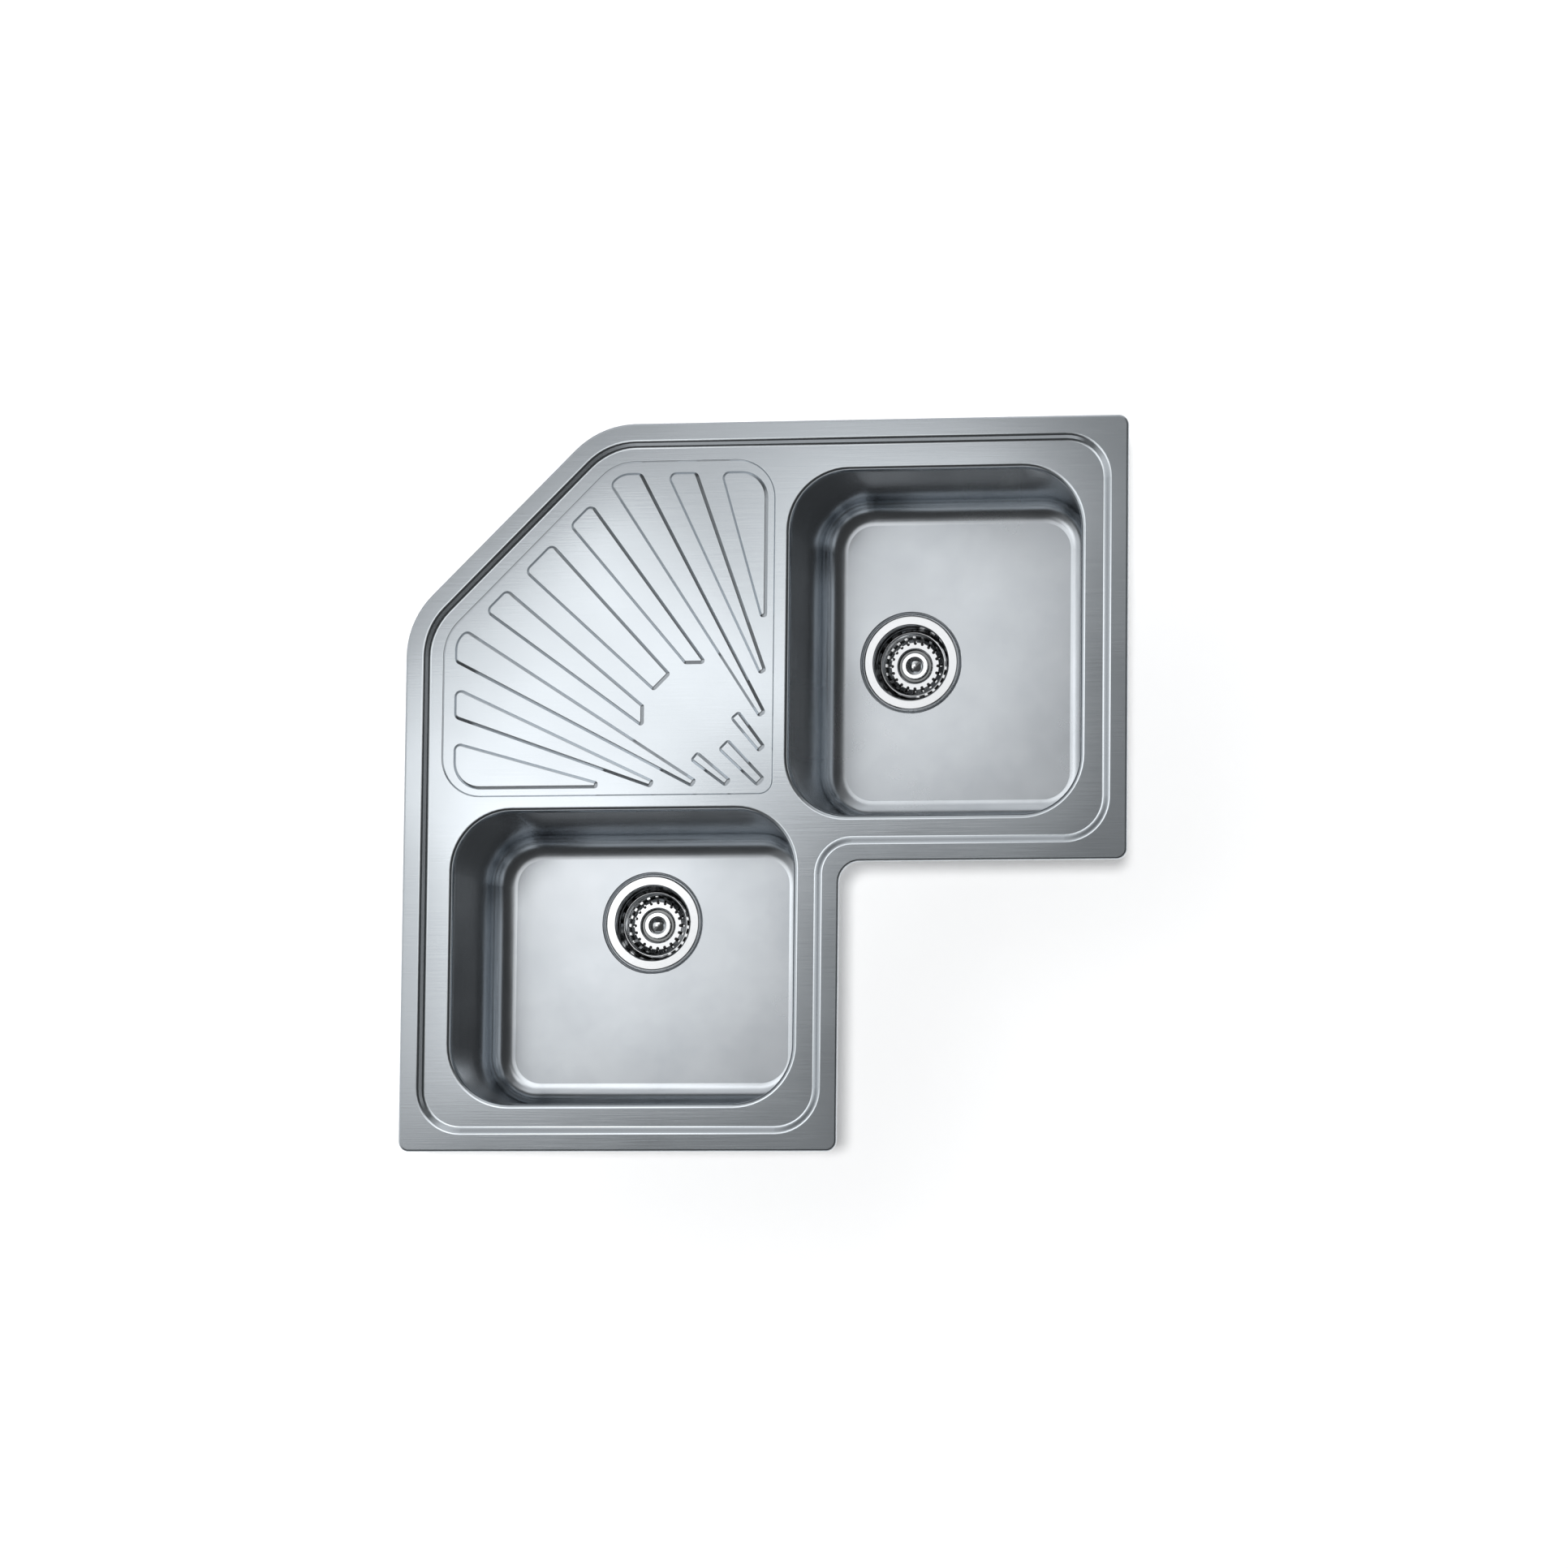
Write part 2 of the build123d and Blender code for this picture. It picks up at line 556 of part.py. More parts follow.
def basket():
    """The lift-out strainer: a cup whose slots run from its floor up into its wall."""
    half = BASKET_SHEET / 2
    floor_z = BASKET_FLOOR_TOP - half
    well_z = WELL_TOP - half
    points = [
        (BASKET_RIM_R, BASKET_RIM_TOP - half),
        (BASKET_WALL_TOP_R, BASKET_RIM_TOP - half),
        (BASKET_FLOOR_R, floor_z),
        (BASKET_WELL_R, floor_z),
        (BASKET_WELL_R - BASKET_WELL_DEPTH, well_z),
        (STEM_R, well_z),
    ]
    cup = turned_sheet(points, BASKET_SHEET, [BASKET_BEND, BASKET_BEND, half * 2, half * 2])
    slot_start = BASKET_WELL_R + SLOT_TO_WELL
    slot_length = BASKET_RIM_R - slot_start
    slot_face = SlotOverall(slot_length, SLOT_WIDTH)
    slot_place = Pos(slot_start + slot_length / 2, 0, BASKET_RIM_TOP - SLOT_TO_RIM)
    slot = extrude(slot_place * slot_face, amount=CUP_FLOOR)
    return cup - [Rot(0, 0, 360 / SLOTS * turn) * slot for turn in range(SLOTS)]


def basket_seal():
    """The rubber ring that sits round the basket's well and closes the cup's drain holes."""
    bottom = CUP_FLOOR + LIFT_GAP
    return ring(BASKET_SEAL_R + BASKET_SEAL_WIDTH, BASKET_SEAL_R, bottom, bottom + BASKET_SEAL_HEIGHT)


def basket_stem():
    """The pin under the knob, riveted through the basket's well."""
    top = WELL_TOP + KNOB_NECK_HEIGHT
    bottom = WELL_TOP - BASKET_SHEET - STEM_LENGTH
    return turned(
        [
            (0, top),
            (STEM_R, top),
            (STEM_R, bottom + SCREW_TIP_CHAMFER),
            (STEM_R - SCREW_TIP_CHAMFER, bottom),
            (0, bottom),
        ]
    )


def basket_knob():
    """A flat plate to lift by, with a domed middle, on a short neck."""
    plate_bottom = WELL_TOP + KNOB_NECK_HEIGHT
    plate_top = plate_bottom + KNOB_PLATE_THICKNESS
    neck = ring(KNOB_NECK_R, STEM_R, WELL_TOP, plate_bottom)
    plate = Pos(0, 0, (plate_bottom + plate_top) / 2) * Cylinder(KNOB_PLATE_R, KNOB_PLATE_THICKNESS)
    plate = fillet(plate.edges().filter_by(GeomType.CIRCLE), KNOB_EDGE_R)
    dome_r = (KNOB_DOME_R**2 + KNOB_DOME_HEIGHT**2) / (2 * KNOB_DOME_HEIGHT)
    dome = Pos(0, 0, plate_top + KNOB_DOME_HEIGHT - dome_r) * Sphere(dome_r)
    cap_box = Pos(0, 0, plate_top + KNOB_DOME_HEIGHT / 2) * Cylinder(KNOB_PLATE_R, KNOB_DOME_HEIGHT)
    return neck + plate + (dome & cap_box)


# ---- fixing clips, with x outwards across the rim's edge and y along it


def clip_places():
    """Nine places round the edge: two on each long side, one on each shorter one."""
    half = SIDE / 2
    notch = ARM - half
    long_start = WALL_CUT - half
    quarter = (half - long_start) / 4
    arm_middle = (half - notch) / 2
    notch_middle = (half + notch) / 2
    cut_middle = half - WALL_CUT / 2
    return [
        Location((long_start + quarter, half, 0), (0, 0, 90)),
        Location((half - quarter, half, 0), (0, 0, 90)),
        Location((half, arm_middle, 0), (0, 0, 0)),
        Location((notch_middle, -notch, 0), (0, 0, -90)),
        Location((notch, -notch_middle, 0), (0, 0, 0)),
        Location((-arm_middle, -half, 0), (0, 0, -90)),
        Location((-half, quarter - half, 0), (0, 0, 180)),
        Location((-half, -long_start - quarter, 0), (0, 0, 180)),
        Location((-cut_middle, cut_middle, 0), (0, 0, 135)),
    ]


def clip_bracket():
    """A stirrup welded under the deck, with a weld nut for the clip's screw."""
    half = BRACKET_SHEET / 2
    top = DECK_UNDER - half
    base = DECK_UNDER - BRACKET_DEPTH
    side = BRACKET_SPAN / 2
    foot = side + BRACKET_FOOT
    points = [(-foot, top), (-side, top), (-side, base), (side, base), (side, top), (foot, top)]
    strip = trace(FilletPolyline(points, radius=BRACKET_BEND), line_width=BRACKET_SHEET)
    stirrup = extrude(Plane.YZ * strip, amount=BRACKET_WIDTH / 2, both=True)
    nut = Pos(0, 0, base - half - NUT_HEIGHT / 2) * Cylinder(NUT_R, NUT_HEIGHT)
    tapping = Pos(0, 0, base - half) * Cylinder(CLIP_SCREW_R + RUNNING_GAP / 2, 4 * NUT_HEIGHT)
    return Pos(-CLIP_INSET, 0, 0) * (stirrup + nut - tapping)


def clip_head_z():
    """Height of the screw head's bearing face when the clip is slack."""
    base_top = DECK_UNDER - BRACKET_DEPTH + BRACKET_SHEET / 2
    return base_top + CLIP_SCREW_REACH - CLIP_SCREW_LENGTH


def clip_screw():
    """A cross-slotted screw whose head carries the washer and the claw."""
    bearing = clip_head_z()
    shank_top = bearing + CLIP_SCREW_LENGTH
    body = turned(
        [
            (0, shank_top),
            (CLIP_SCREW_R - SCREW_TIP_CHAMFER, shank_top),
            (CLIP_SCREW_R, shank_top - SCREW_TIP_CHAMFER),
            (CLIP_SCREW_R, bearing),
            (CLIP_HEAD_R, bearing),
            (CLIP_HEAD_R, bearing - CLIP_HEAD_HEIGHT + SCREW_TIP_CHAMFER),
            (CLIP_HEAD_R - SCREW_TIP_CHAMFER, bearing - CLIP_HEAD_HEIGHT),
            (0, bearing - CLIP_HEAD_HEIGHT),
        ]
    )
    slot = Box(2 * CLIP_SCREW_R, SCREW_TIP_CHAMFER, CLIP_HEAD_HEIGHT)
    cross = Pos(0, 0, bearing - CLIP_HEAD_HEIGHT) * (slot + Rot(0, 0, 90) * slot)
    return Pos(-CLIP_INSET, 0, 0) * (body - cross)


def clip_washer():
    bottom = clip_head_z() + RUNNING_GAP
    inner_r = CLIP_SCREW_R + HOLE_CLEARANCE
    return Pos(-CLIP_INSET, 0, 0) * ring(WASHER_R, inner_r, bottom, bottom + WASHER_THICKNESS)


def clip_claw():
    """The angle that reaches out under the worktop and bites it with its toothed tip."""
    half = CLAW_SHEET / 2
    middle = clip_head_z() + 2 * RUNNING_GAP + WASHER_THICKNESS + half
    tip = -CLAW_TIP_INSET - half
    tip_top = middle + CLAW_RISE
    line = FilletPolyline([(-CLIP_INSET - CLAW_TAIL, middle), (tip, middle), (tip, tip_top)], radius=CLAW_BEND)
    strip = Plane.XZ * trace(line, line_width=CLAW_SHEET)
    claw = extrude(strip, amount=CLAW_WIDTH / 2, both=True)
    pitch = CLAW_WIDTH / CLAW_TEETH
    notch_face = make_face(
        Polyline((-pitch / 2, 0), (0, -CLAW_TOOTH_DEPTH), (pitch / 2, 0), close=True)
    )
    notch = extrude(Plane.YZ * notch_face, amount=CLAW_SHEET, both=True)
    for number in range(CLAW_TEETH):
        y = (number + 0.5) * pitch - CLAW_WIDTH / 2
        claw -= Pos(tip, y, tip_top) * notch
    hole = Pos(-CLIP_INSET, 0, middle) * Cylinder(CLIP_SCREW_R + HOLE_CLEARANCE, 2 * CLAW_SHEET)
    turn = Pos(-CLIP_INSET, 0, 0) * Rot(0, 0, CLAW_PARKED) * Pos(CLIP_INSET, 0, 0)
    return turn * (claw - hole)


# ---- all nodes


def nodes():
    """Each node's name and its solid or group of solids."""
    parts = {"deck": deck(), "rim_seal": rim_seal()}
    waste_pieces = {
        "waste_strainer_cup": strainer_cup,
        "waste_flange_seal": flange_seal,
        "waste_body_seal": body_seal,
        "waste_body": waste_body,
        "waste_brass_insert": brass_insert,
        "waste_clamp_screw": clamp_screw,
        "basket": basket,
        "basket_seal": basket_seal,
        "basket_stem": basket_stem,
        "basket_knob": basket_knob,
    }
    for side, place in BOWL_PLACES.items():
        parts[side + "_bowl"] = place * bowl()
        parts[side + "_sound_pad"] = place * pad()
        for name, make in waste_pieces.items():
            parts[side + "_" + name] = waste_place(side) * make()
    places = clip_places()
    parts["clip_brackets"] = Compound([place * clip_bracket().solid() for place in places])
    for number, place in enumerate(places, start=1):
        parts[f"clip_washer_{number}"] = place * clip_washer()
        parts[f"clip_screw_{number}"] = place * clip_screw()
        parts[f"clip_claw_{number}"] = place * clip_claw()
    return parts


os.makedirs("parts", exist_ok=True)
for node, shape in nodes().items():
    export_step(shape, os.path.join("parts", node + ".step"))
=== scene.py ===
"""The look of the corner sink: materials, camera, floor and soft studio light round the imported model."""
import math

import bpy
from mathutils import Matrix, Vector


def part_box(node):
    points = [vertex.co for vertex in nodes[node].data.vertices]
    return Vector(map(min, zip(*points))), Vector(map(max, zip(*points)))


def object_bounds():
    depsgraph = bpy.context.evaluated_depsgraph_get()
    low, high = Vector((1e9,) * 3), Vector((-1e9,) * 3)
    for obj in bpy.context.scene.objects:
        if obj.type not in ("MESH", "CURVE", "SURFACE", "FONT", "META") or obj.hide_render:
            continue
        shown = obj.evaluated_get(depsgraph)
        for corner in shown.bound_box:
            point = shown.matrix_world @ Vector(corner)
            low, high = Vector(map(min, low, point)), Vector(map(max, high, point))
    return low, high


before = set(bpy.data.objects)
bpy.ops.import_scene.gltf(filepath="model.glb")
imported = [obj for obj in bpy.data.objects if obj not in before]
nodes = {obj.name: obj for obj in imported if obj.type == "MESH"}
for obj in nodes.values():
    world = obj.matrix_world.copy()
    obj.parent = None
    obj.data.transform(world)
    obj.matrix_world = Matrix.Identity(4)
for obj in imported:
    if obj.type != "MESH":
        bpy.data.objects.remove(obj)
cad_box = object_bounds()

WHITE = (1.0, 1.0, 1.0)

# ---- camera, in metres and degrees: on the user's side, rolled so that +Y is up in the picture
CAMERA_TARGET = Vector((0.0243, 0.0002, 0.0))
CAMERA_DISTANCE = 8.0
CAMERA_AZIMUTH = 57.0
CAMERA_ELEVATION = 77.9
CAMERA_LENS = 162.7
CAMERA_SENSOR = 36.0
CAMERA_REACH = 100.0

# ---- softboxes that face down, placed where the deck, the drainer and the bowls' floors mirror them
SOFTBOXES = (
    {"name": "broad", "place": (-0.445, 0.233, 1.3), "size": (1.3, 0.48), "turn": 45, "power": 0.72},
    {"name": "over_drainer", "place": (-0.481, 0.24, 1.25), "size": (0.5, 0.36), "turn": 45, "power": 0.53},
    {
        "name": "over_right_bowl",
        "place": (-0.032, 0.337, 1.22),
        "size": (0.34, 0.42),
        "turn": 0,
        "power": 0.33,
    },
    {
        "name": "over_left_bowl",
        "place": (-0.433, -0.081, 1.22),
        "size": (0.42, 0.34),
        "turn": 0,
        "power": 0.33,
    },
)
SUN_PLACE = (0.13, -0.067, 1.0)  # it shines from here towards the origin
SUN_STRENGTH = 1.7
SUN_ANGLE = 4.0

# ---- the room round the sink, which the steel mirrors
WALL_SIDE = (-0.7071, 0.7071, 0.0)
# from the user's side round to the walls: place on the ramp and grey level
ROOM = (
    (0.0, 0.05),
    (0.42, 0.06),
    (0.5, 0.2),
    (0.57, 0.12),
    (0.61, 0.42),
    (0.66, 0.45),
    (0.75, 0.85),
    (0.86, 0.8),
    (1.0, 0.25),
)
ROOM_TINT = (0.97, 0.985, 1.0)  # of every grey in the room
# a pale band low over the user's side, so that the deck isn't black when it is seen from the walls
BAND_GREY = 0.8
BAND_START = (0.1, 0.18)  # sines of the elevations between which it appears
BAND_END = (0.3, 0.42)  # and between which it fades out
BAND_SIDE = (-0.35, -0.1)  # how far towards the user's side it is full, and where it ends

# ---- floor, in metres
FLOOR_DROP = 0.002  # below the object's lowest point
FLOOR_HALF = 6.0
FLOOR_GREY = 0.94
FLOOR_ROUGHNESS = 0.9
FLOOR_GLOW = 0.27  # share of white that the camera and reflections see whatever the light

# ---- metals: colours and roughness between which they vary, stretch and depth of the lines
POLISH = {
    "light": (0.66, 0.67, 0.68),
    "dark": (0.58, 0.59, 0.60),
    "rough": (0.08, 0.14),
    "stretch": (4.0, 4.0, 4.0),
    "grain": 0.05,
}
METALS = {
    "deck_steel": {
        "light": (0.61, 0.645, 0.675),
        "dark": (0.51, 0.545, 0.575),
        "rough": (0.15, 0.22),
        "stretch": (0.25, 12.0, 12.0),
        "grain": 0.25,
    },
    "bowl_steel": {
        "light": (0.74, 0.77, 0.80),
        "dark": (0.46, 0.49, 0.52),
        "rough": (0.12, 0.2),
        "stretch": (0.2, 0.2, 3.0),
        "grain": 0.04,
    },
    "polished_steel": POLISH,
    "basket_steel": POLISH,
    "chrome": {
        "light": (0.86, 0.87, 0.88),
        "dark": (0.80, 0.82, 0.83),
        "rough": (0.04, 0.09),
        "stretch": (3.0, 3.0, 3.0),
        "grain": 0.03,
    },
    "zinc_plate": {
        "light": (0.66, 0.67, 0.66),
        "dark": (0.50, 0.52, 0.52),
        "rough": (0.3, 0.45),
        "stretch": (3.0, 3.0, 3.0),
        "grain": 0.2,
    },
}
LINES = {"scale": 60.0, "detail": 6.0, "roughness": 0.6}
LINE_DEPTH = 0.0001
LINE_SHARE = 0.5  # of the roughness; cloudy patches make the rest
PATCHES = {"scale": 5.0, "detail": 3.0}
MIXED_RANGE = (0.25, 0.75)  # where lines and patches together mostly lie
NOISE_RANGE = (0.3, 0.7)  # where one noise texture mostly lies

# ---- finishes that are moulded, cast or rubber: two colours, roughness, scale and strength of the grain
FINISHES = {
    "black_rubber": {"colours": ((0.02, 0.02, 0.021), (0.035, 0.035, 0.036)), "roughness": 0.7},
    "bitumen": {
        "colours": ((0.028, 0.028, 0.03), (0.05, 0.05, 0.052)),
        "roughness": 0.85,
        "scale": 300.0,
        "strength": 0.5,
    },
    "white_plastic": {
        "colours": ((0.80, 0.80, 0.78), (0.74, 0.74, 0.72)),
        "roughness": 0.45,
        "scale": 200.0,
        "strength": 0.1,
    },
    "brass": {
        "colours": ((0.75, 0.55, 0.24), (0.62, 0.44, 0.18)),
        "roughness": 0.28,
        "metallic": 1.0,
        "scale": 200.0,
        "strength": 0.1,
    },
}
GRAIN_DETAIL = 4.0
GRAIN_DEPTH = 0.0002
CLOUD_SIZE = 12  # in grains
CLOUD_DETAIL = 2.0
ROUGHNESS_SPREAD = (0.8, 1.2)
REFRACTION = 1.5

# ---- differences within a piece, in metres
BOWL_FLOOR_HEIGHTS = (-0.178, -0.15)  # where a bowl's satin floor ends and its polished walls begin
BOWL_FLOOR_EXTRA = 0.09  # by how much the floor is rougher
WELL_SHADE_HEIGHTS = (0.0012, 0.0024)  # height above a basket's lowest point over which its painted shade fades
# colour of the painted shade at the bottom of a basket's well
WELL_SHADE_COLOUR = (0.16, 0.165, 0.165)

# ---- the first word that is in a node's name gives its material
LOOKS = (
    ("sound_pad", "bitumen"),
    ("seal", "black_rubber"),
    ("brass_insert", "brass"),
    ("waste_body", "white_plastic"),
    ("knob", "chrome"),
    ("clip_", "zinc_plate"),
    ("stem", "polished_steel"),
    ("basket", "basket_steel"),
    ("bowl", "bowl_steel"),
    ("deck", "deck_steel"),
    ("", "polished_steel"),
)


def object_coordinates(tree):
    return tree.nodes.new("ShaderNodeTexCoord").outputs["Object"]


def stretched(tree, vector, scale):
    mapping = tree.nodes.new("ShaderNodeMapping")
    mapping.inputs["Scale"].default_value = scale
    tree.links.new(vector, mapping.inputs["Vector"])
    return mapping.outputs["Vector"]


def z_of(tree, vector):
    split = tree.nodes.new("ShaderNodeSeparateXYZ")
    tree.links.new(vector, split.inputs[0])
    return split.outputs["Z"]


def noise(tree, vector, scale, detail, roughness=0.5):
    texture = tree.nodes.new("ShaderNodeTexNoise")
    texture.inputs["Scale"].default_value = scale
    texture.inputs["Detail"].default_value = detail
    texture.inputs["Roughness"].default_value = roughness
    tree.links.new(vector, texture.inputs["Vector"])
    return texture.outputs["Fac"]


def remap(tree, value, low, high, from_low=NOISE_RANGE[0], from_high=NOISE_RANGE[1]):
    """Takes the range between from_low and from_high to the one between low and high, and clamps it."""
    node = tree.nodes.new("ShaderNodeMapRange")
    node.inputs["From Min"].default_value = from_low
    node.inputs["From Max"].default_value = from_high
    node.inputs["To Min"].default_value = low
    node.inputs["To Max"].default_value = high
    tree.links.new(value, node.inputs["Value"])
    return node.outputs["Result"]


def combine(tree, operation, first, *others):
    """The sockets under one Math operation, one after the other."""
    for other in others:
        node = tree.nodes.new("ShaderNodeMath")
        node.operation = operation
        tree.links.new(first, node.inputs[0])
        tree.links.new(other, node.inputs[1])
        first = node.outputs[0]
    return first


def blend(tree, factor, first, second):
    """The mix of two colours, each a tuple or a socket."""
    node = tree.nodes.new("ShaderNodeMix")
    node.data_type = "RGBA"
    for colour, socket in ((first, node.inputs["A"]), (second, node.inputs["B"])):
        if isinstance(colour, tuple):
            socket.default_value = (*colour, 1.0)
        else:
            tree.links.new(colour, socket)
    tree.links.new(factor, node.inputs["Factor"])
    return node.outputs["Result"]


def bump(tree, height, strength, distance):
    node = tree.nodes.new("ShaderNodeBump")
    node.inputs["Strength"].default_value = strength
    node.inputs["Distance"].default_value = distance
    tree.links.new(height, node.inputs["Height"])
    return node.outputs["Normal"]


def new_material(name, metallic):
    material = bpy.data.materials.new(name)
    material.use_nodes = True
    shader = material.node_tree.nodes["Principled BSDF"]
    shader.inputs["Metallic"].default_value = metallic
    shader.inputs["IOR"].default_value = REFRACTION
    return material, material.node_tree, shader


def brushed_metal(name, light, dark, rough, stretch, grain):
    """Metal with fine lines, stretched along one direction or more, and cloudy patches of polish."""
    material, tree, shader = new_material(name, 1.0)
    place = object_coordinates(tree)
    lines = noise(tree, stretched(tree, place, stretch), **LINES)
    patches = remap(tree, noise(tree, place, **PATCHES), 0.0, 1.0 - LINE_SHARE)
    mixed = tree.nodes.new("ShaderNodeMath")
    mixed.operation = "MULTIPLY_ADD"
    mixed.inputs[1].default_value = LINE_SHARE
    tree.links.new(lines, mixed.inputs[0])
    tree.links.new(patches, mixed.inputs[2])
    roughness = remap(tree, mixed.outputs[0], *rough, *MIXED_RANGE)
    tree.links.new(blend(tree, lines, dark, light), shader.inputs["Base Color"])
    tree.links.new(roughness, shader.inputs["Roughness"])
    tree.links.new(bump(tree, lines, grain, LINE_DEPTH), shader.inputs["Normal"])
    return material


def plain_finish(name, colours, roughness, metallic=0.0, scale=120.0, strength=0.2):
    """A moulded, cast or rubber surface with a fine grain and slight unevenness."""
    material, tree, shader = new_material(name, metallic)
    place = object_coordinates(tree)
    grain = noise(tree, place, scale, GRAIN_DETAIL)
    clouds = noise(tree, place, scale / CLOUD_SIZE, CLOUD_DETAIL)
    spread = [roughness * share for share in ROUGHNESS_SPREAD]
    tree.links.new(blend(tree, clouds, *colours), shader.inputs["Base Color"])
    tree.links.new(remap(tree, clouds, *spread), shader.inputs["Roughness"])
    tree.links.new(bump(tree, grain, strength, GRAIN_DEPTH), shader.inputs["Normal"])
    return material


def roughen_bowl_floor(material):
    """Makes the floor of a bowl rougher than its polished walls."""
    tree = material.node_tree
    roughness = tree.nodes["Principled BSDF"].inputs["Roughness"]
    polished = roughness.links[0].from_socket
    height = z_of(tree, object_coordinates(tree))
    extra = remap(tree, height, BOWL_FLOOR_EXTRA, 0.0, *BOWL_FLOOR_HEIGHTS)
    tree.links.new(combine(tree, "ADD", polished, extra), roughness)


def paint_well_shade(material):
    """Paints shade into the well in the middle of a strainer basket, so that its colour turns dark towards
    the bottom as if the well were deep and in shadow.
    """
    tree = material.node_tree
    colour = tree.nodes["Principled BSDF"].inputs["Base Color"]
    unshaded = colour.links[0].from_socket
    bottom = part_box("left_basket")[0].z
    fade = [bottom + height for height in WELL_SHADE_HEIGHTS]
    share = remap(tree, z_of(tree, object_coordinates(tree)), 1.0, 0.0, *fade)
    # painted shade: the base colour goes dark over the lowest part of the well
    tree.links.new(blend(tree, share, unshaded, WELL_SHADE_COLOUR), colour)


def dress():
    """Gives every CAD node its material."""
    materials = {name: brushed_metal(name, **look) for name, look in METALS.items()}
    materials.update({name: plain_finish(name, **look) for name, look in FINISHES.items()})
    roughen_bowl_floor(materials["bowl_steel"])
    # painted shade in the wells of the baskets
    paint_well_shade(materials["basket_steel"])
    for name, node in nodes.items():
        look = next(material for word, material in LOOKS if word in name)
        for slot in node.material_slots:
            slot.material = materials[look]


def add_camera():
    azimuth, elevation = math.radians(CAMERA_AZIMUTH), math.radians(CAMERA_ELEVATION)
    sideways = math.cos(elevation)
    back = Vector((math.sin(azimuth) * sideways, -math.cos(azimuth) * sideways, math.sin(elevation)))
    level = Vector((math.cos(azimuth), math.sin(azimuth), 0.0))
    up = back.cross(level)
    right = level * math.cos(azimuth) - up * math.sin(azimuth)
    top = up * math.cos(azimuth) + level * math.sin(azimuth)
    place = Matrix.Translation(CAMERA_TARGET + back * CAMERA_DISTANCE)
    camera = bpy.data.objects.new("camera", bpy.data.cameras.new("camera"))
    camera.data.lens = CAMERA_LENS
    camera.data.sensor_width = CAMERA_SENSOR
    camera.data.clip_end = CAMERA_REACH
    camera.matrix_world = place @ Matrix((right, top, back)).transposed().to_4x4()
    bpy.context.scene.collection.objects.link(camera)
    bpy.context.scene.camera = camera


def add_lamp(name, kind, place, **settings):
    data = bpy.data.lights.new(name, kind)
    for key, value in settings.items():
        setattr(data, key, value)
    lamp = bpy.data.objects.new(name, data)
    lamp.location = place
    bpy.context.scene.collection.objects.link(lamp)
    return lamp


def add_lamps():
    """The softboxes, and a sun for the shadow, which reflections leave out because its glints are harsh."""
    for box in SOFTBOXES:
        size_x, size_y = box["size"]
        shape = {"shape": "RECTANGLE", "size": size_x, "size_y": size_y}
        lamp = add_lamp(box["name"], "AREA", box["place"], energy=box["power"], **shape)
        lamp.rotation_euler = (0.0, 0.0, math.radians(box["turn"]))
    sun = add_lamp("sun", "SUN", SUN_PLACE, energy=SUN_STRENGTH, angle=math.radians(SUN_ANGLE))
    sun.rotation_mode = "QUATERNION"
    sun.rotation_quaternion = Vector(SUN_PLACE).to_track_quat("Z", "Y")
    sun.visible_glossy = False


def room_grey(grey):
    return tuple(grey * share for share in ROOM_TINT)


def room_light(tree, side):
    """The room's grey, by how far a direction points towards the walls."""
    ramp = tree.nodes.new("ShaderNodeValToRGB")
    stops = ramp.color_ramp.elements
    while len(stops) < len(ROOM):
        stops.new(1.0)
    for stop, (place, grey) in zip(stops, ROOM):
        stop.position = place
        stop.color = (*room_grey(grey), 1.0)
    tree.links.new(remap(tree, side, 0.0, 1.0, -1.0, 1.0), ramp.inputs["Fac"])
    return ramp.outputs["Color"]


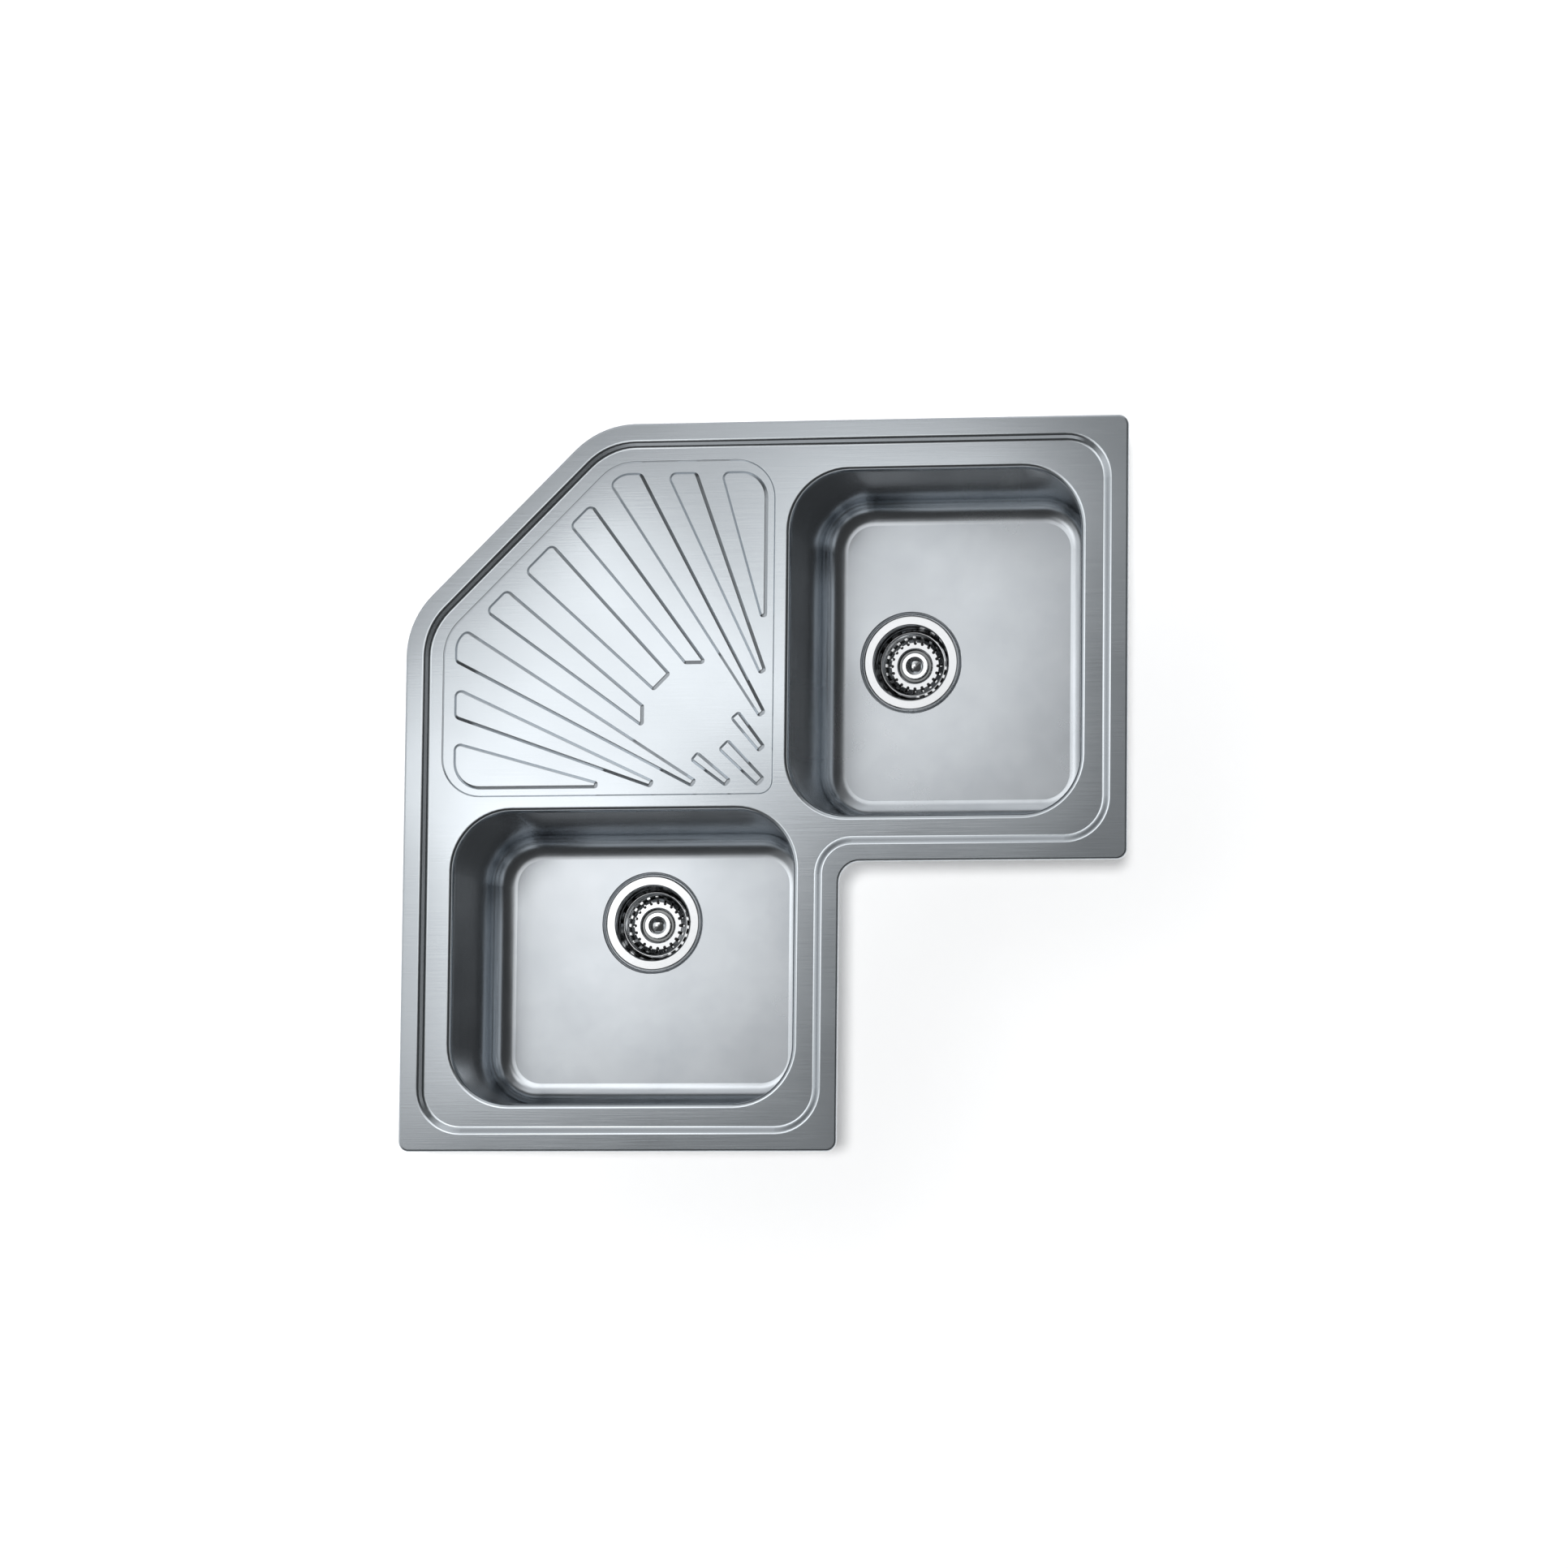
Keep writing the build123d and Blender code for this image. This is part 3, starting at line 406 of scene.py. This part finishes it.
def add_world():
    """The room that the steel mirrors. The camera itself sees white past the floor's edge."""
    world = bpy.data.worlds.new("studio")
    world.use_nodes = True
    bpy.context.scene.world = world
    tree = world.node_tree
    direction = tree.nodes.new("ShaderNodeTexCoord").outputs["Generated"]
    towards_walls = tree.nodes.new("ShaderNodeVectorMath")
    towards_walls.operation = "DOT_PRODUCT"
    towards_walls.inputs[1].default_value = WALL_SIDE
    tree.links.new(direction, towards_walls.inputs[0])
    side = towards_walls.outputs["Value"]
    height = z_of(tree, direction)
    band = combine(
        tree,
        "MULTIPLY",
        remap(tree, height, 0.0, 1.0, *BAND_START),
        remap(tree, height, 1.0, 0.0, *BAND_END),
        remap(tree, side, 1.0, 0.0, *BAND_SIDE),
    )
    light = blend(tree, band, room_light(tree, side), room_grey(BAND_GREY))
    by_camera = tree.nodes.new("ShaderNodeLightPath").outputs["Is Camera Ray"]
    tree.links.new(blend(tree, by_camera, light, WHITE), tree.nodes["Background"].inputs["Color"])


def floor_material():
    """Pale, with some white of its own where it is seen directly, mirrored or through something."""
    material, tree, shader = new_material("floor", 0.0)
    shader.inputs["Base Color"].default_value = (FLOOR_GREY, FLOOR_GREY, FLOOR_GREY, 1.0)
    shader.inputs["Roughness"].default_value = FLOOR_ROUGHNESS
    shader.inputs["Emission Color"].default_value = (*WHITE, 1.0)
    path = tree.nodes.new("ShaderNodeLightPath").outputs
    rays = (path["Is Camera Ray"], path["Is Glossy Ray"], path["Is Transmission Ray"])
    seen = combine(tree, "MAXIMUM", *rays)
    tree.links.new(remap(tree, seen, 0.0, FLOOR_GLOW, 0.0, 1.0), shader.inputs["Emission Strength"])
    # one-sided: from below it lets the underside show
    mix = tree.nodes.new("ShaderNodeMixShader")
    tree.links.new(tree.nodes.new("ShaderNodeNewGeometry").outputs["Backfacing"], mix.inputs[0])
    tree.links.new(shader.outputs[0], mix.inputs[1])
    tree.links.new(tree.nodes.new("ShaderNodeBsdfTransparent").outputs[0], mix.inputs[2])
    tree.links.new(mix.outputs[0], tree.nodes["Material Output"].inputs["Surface"])
    return material


def add_floor():
    """A square just below the lowest point."""
    z = cad_box[0].z - FLOOR_DROP
    corners = [(x * FLOOR_HALF, y * FLOOR_HALF, z) for x, y in ((-1, -1), (1, -1), (1, 1), (-1, 1))]
    mesh = bpy.data.meshes.new("floor")
    mesh.from_pydata(corners, [], [range(len(corners))])
    mesh.materials.append(floor_material())
    floor = bpy.data.objects.new("floor", mesh)
    bpy.context.scene.collection.objects.link(floor)


dress()
add_camera()
add_lamps()
add_world()
add_floor()
bpy.context.scene.view_settings.view_transform = "Standard"
